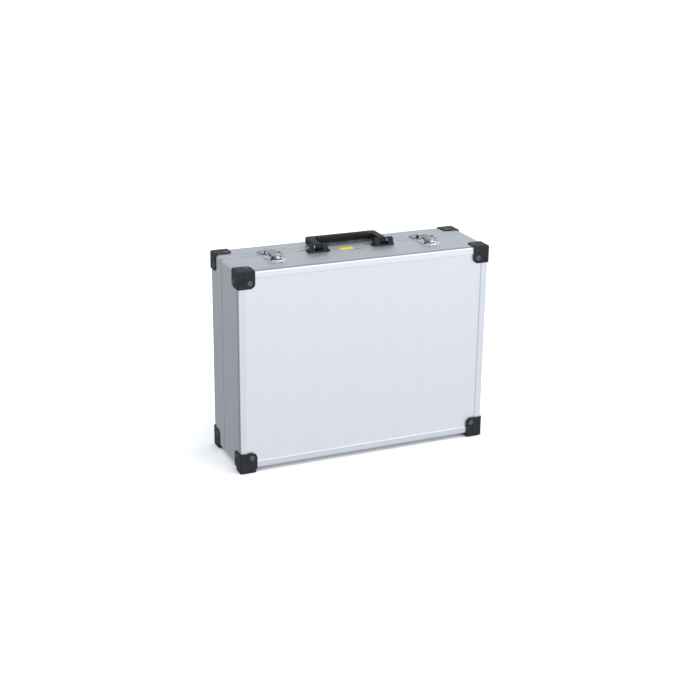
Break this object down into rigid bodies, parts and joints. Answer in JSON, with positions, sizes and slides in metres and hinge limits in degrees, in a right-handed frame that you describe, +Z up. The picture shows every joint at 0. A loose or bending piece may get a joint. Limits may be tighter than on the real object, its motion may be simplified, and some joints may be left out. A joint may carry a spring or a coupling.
{
  "type": "aluminium framed carrying case",
  "caption": "Hard carrying case of aluminium frame sections and sheet panels, with black corner caps and feet, a folding carry handle, draw latches and a hinged lid.",
  "frame": {"origin": "on the ground under the middle of the closed case, standing on its feet", "axes": "+X to the right along the width, +Y from the front panel to the lid, +Z up through the handle"},
  "size_m": [0.444, 0.14, 0.3555],
  "materials": {
    "frame_aluminium": "satin anodised extrusion",
    "panel_sheet": "fine vertical ribs, satin anodised sheet",
    "board": "raw fibreboard",
    "black_plastic": "moulded, fine grain",
    "grip_plastic": "moulded, ribbed on the grip",
    "chrome": "bright chrome plate",
    "zinc_steel": "zinc plated",
    "foam": "open cell foam",
    "label": "blank printed film"
  },
  "bodies": {
    "base": {"base_wall_top": "frame_aluminium", "base_wall_right": "frame_aluminium", "base_wall_bottom": "frame_aluminium", "base_wall_left": "frame_aluminium", "front_panel_skin": "panel_sheet", "front_panel_board": "board", "base_foam": "foam", "front_cap_top_left": "black_plastic", "base_angle_top_left": "zinc_steel", "front_cap_bottom_left": "black_plastic", "base_angle_bottom_left": "zinc_steel", "front_cap_top_right": "black_plastic", "base_angle_top_right": "zinc_steel", "front_cap_bottom_right": "black_plastic", "base_angle_bottom_right": "zinc_steel", "handle_bracket_left": "black_plastic", "handle_pin_left": "zinc_steel", "handle_bracket_right": "black_plastic", "handle_pin_right": "zinc_steel", "handle_backing_strip": "zinc_steel", "label_plate": "label", "latch_base_left": "chrome", "latch_rivet_a_left": "zinc_steel", "latch_rivet_b_left": "zinc_steel", "hinge_base_leaf_left": "zinc_steel", "hinge_pin_left": "zinc_steel", "latch_base_right": "chrome", "latch_rivet_a_right": "zinc_steel", "latch_rivet_b_right": "zinc_steel", "hinge_base_leaf_right": "zinc_steel", "hinge_pin_right": "zinc_steel"},
    "lid": {"lid_wall_top": "frame_aluminium", "lid_wall_right": "frame_aluminium", "lid_wall_bottom": "frame_aluminium", "lid_wall_left": "frame_aluminium", "rear_panel_skin": "panel_sheet", "rear_panel_board": "board", "lid_foam": "foam", "rear_cap_top_left": "black_plastic", "lid_angle_top_left": "zinc_steel", "rear_cap_bottom_left": "black_plastic", "lid_angle_bottom_left": "zinc_steel", "rear_cap_top_right": "black_plastic", "lid_angle_top_right": "zinc_steel", "rear_cap_bottom_right": "black_plastic", "lid_angle_bottom_right": "zinc_steel", "latch_keeper_left": "chrome", "hinge_lid_leaf_left": "zinc_steel", "latch_keeper_right": "chrome", "hinge_lid_leaf_right": "zinc_steel"},
    "handle": {"handle_frame": "grip_plastic", "handle_grip": "grip_plastic"},
    "latch_lever_left": {"latch_lever_left": "chrome", "latch_claw_pin_left": "zinc_steel"},
    "latch_claw_left": {"latch_claw_left": "chrome"},
    "latch_key_left": {"latch_key_cylinder_left": "chrome"},
    "latch_lever_right": {"latch_lever_right": "chrome", "latch_claw_pin_right": "zinc_steel"},
    "latch_claw_right": {"latch_claw_right": "chrome"},
    "latch_key_right": {"latch_key_cylinder_right": "chrome"}
  },
  "joints": [
    {"name": "lid_hinge", "type": "hinge", "parent": "base", "child": "lid", "pos_m": [0, 0.016, 0.0037], "axis": [-1, 0, 0], "range_deg": [0, 95]},
    {"name": "handle_fold", "type": "hinge", "parent": "base", "child": "handle", "pos_m": [0, 0.003, 0.3495], "axis": [1, 0, 0], "range_deg": [0, 180]},
    {"name": "latch_lever_left", "type": "hinge", "parent": "base", "child": "latch_lever_left", "pos_m": [-0.137, -0.001, 0.3475], "axis": [-1, 0, 0], "range_deg": [0, 115]},
    {"name": "latch_claw_left", "type": "hinge", "parent": "latch_lever_left", "child": "latch_claw_left", "pos_m": [-0.137, -0.009, 0.3466], "axis": [1, 0, 0], "range_deg": [0, 115]},
    {"name": "key_turn_left", "type": "hinge", "parent": "latch_lever_left", "child": "latch_key_left", "pos_m": [-0.137, -0.0205, 0.347], "axis": [0, 0, 1], "range_deg": [0, 90]},
    {"name": "latch_lever_right", "type": "hinge", "parent": "base", "child": "latch_lever_right", "pos_m": [0.137, -0.001, 0.3475], "axis": [-1, 0, 0], "range_deg": [0, 115]},
    {"name": "latch_claw_right", "type": "hinge", "parent": "latch_lever_right", "child": "latch_claw_right", "pos_m": [0.137, -0.009, 0.3466], "axis": [1, 0, 0], "range_deg": [0, 115]},
    {"name": "key_turn_right", "type": "hinge", "parent": "latch_lever_right", "child": "latch_key_right", "pos_m": [0.137, -0.0205, 0.347], "axis": [0, 0, 1], "range_deg": [0, 90]}
  ],
  "couplings": [
    {"joint": "latch_claw_left", "follows": "latch_lever_left", "ratio": 1},
    {"joint": "latch_claw_right", "follows": "latch_lever_right", "ratio": 1}
  ]
}
